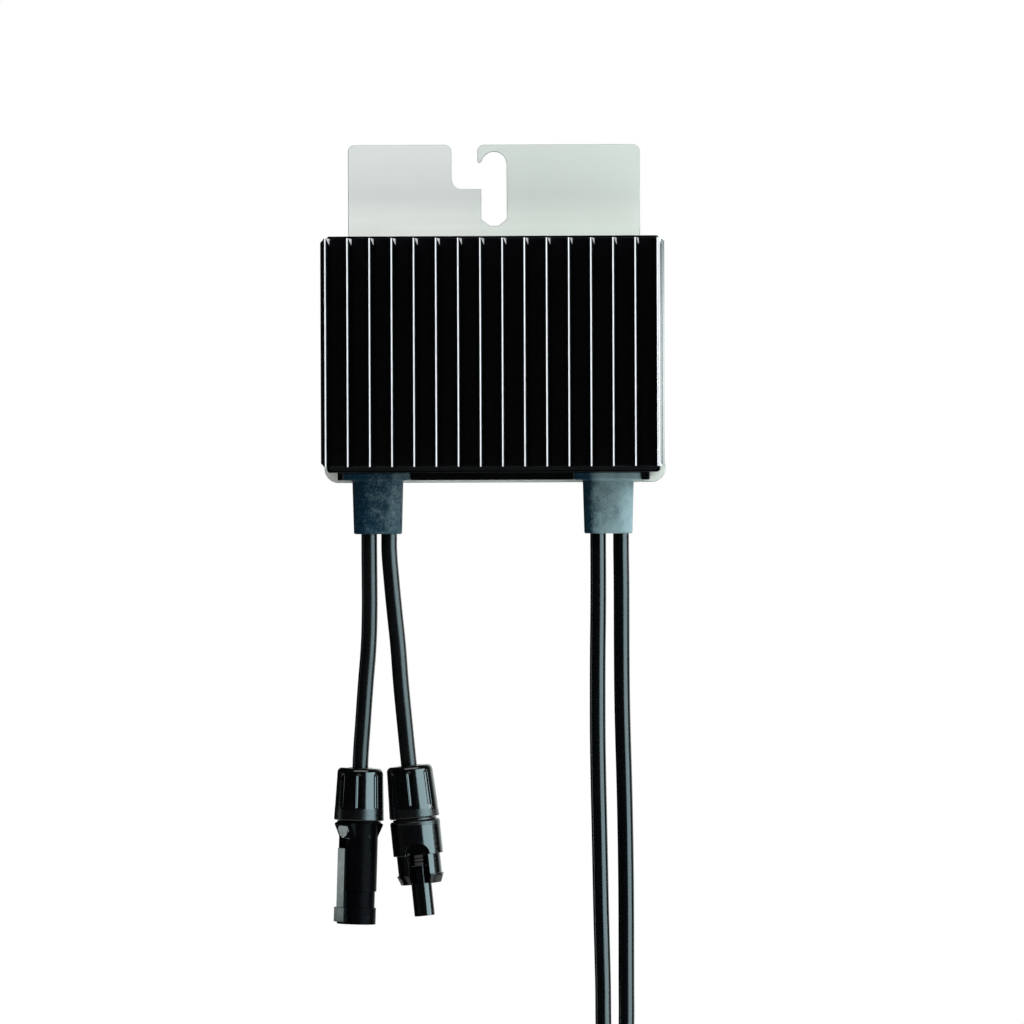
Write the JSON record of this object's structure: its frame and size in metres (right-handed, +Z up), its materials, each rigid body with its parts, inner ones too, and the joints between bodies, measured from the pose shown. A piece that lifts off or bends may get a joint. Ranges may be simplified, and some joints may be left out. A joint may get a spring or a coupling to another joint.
{
  "type": "power optimizer",
  "caption": "Finned black converter box on a silver hook bracket, with two input leads and two output leads that end in locking couplers.",
  "frame": {"origin": "bolt seat of the hook slot: centre of the slot's arch, on the bracket's back face", "axes": "+Z up along the slot, +Y out of the bracket's back face, the fins face -Y, +X to the right from the front"},
  "size_m": [0.129, 0.0448, 0.5287],
  "materials": {
    "bracket_sheet": "satin",
    "black_metal": "gloss black",
    "housing_plastic": "semi-gloss black",
    "gland_rubber": "matte blue-grey",
    "lead_sheath": "smooth black",
    "coupler_plastic": "gloss black",
    "seal_rubber": "matte",
    "contact_metal": "tinned",
    "screw_steel": "zinc",
    "board_laminate": "solder resist",
    "chip_plastic": "moulded",
    "pad_rubber": "soft",
    "ferrite": "sintered",
    "copper": "bare",
    "capacitor_case": "moulded",
    "terminal_metal": "tinned",
    "tie_plastic": "moulded"
  },
  "bodies": {
    "root": {"mounting_bracket": "bracket_sheet", "case_screws": "screw_steel", "rear_housing": "housing_plastic", "sealing_frame": "seal_rubber", "heat_sink": "black_metal", "circuit_board": "board_laminate", "board_screws": "screw_steel", "power_transistors": "chip_plastic", "thermal_pad": "pad_rubber", "inductor_core": "ferrite", "inductor_winding": "copper", "input_capacitors": "capacitor_case", "output_capacitors": "capacitor_case", "control_chip": "chip_plastic", "board_terminals": "terminal_metal", "lead_cores": "copper", "input_gland": "gland_rubber", "output_gland": "gland_rubber", "coil_tie": "tie_plastic", "input_left_lead": "lead_sheath", "input_right_lead": "lead_sheath", "output_left_lead": "lead_sheath", "output_right_lead": "lead_sheath", "output_left_tail": "lead_sheath", "output_right_tail": "lead_sheath", "output_left_coil": "lead_sheath", "output_right_coil": "lead_sheath", "input_shell_nut": "coupler_plastic", "input_shell_seal": "seal_rubber", "input_shell_body": "coupler_plastic", "input_shell_pin": "contact_metal", "input_probe_nut": "coupler_plastic", "input_probe_seal": "seal_rubber", "input_probe_body": "coupler_plastic", "input_probe_socket": "contact_metal", "output_shell_nut": "coupler_plastic", "output_shell_seal": "seal_rubber", "output_shell_body": "coupler_plastic", "output_shell_pin": "contact_metal", "output_probe_nut": "coupler_plastic", "output_probe_seal": "seal_rubber", "output_probe_body": "coupler_plastic", "output_probe_socket": "contact_metal"}
  },
  "joints": []
}
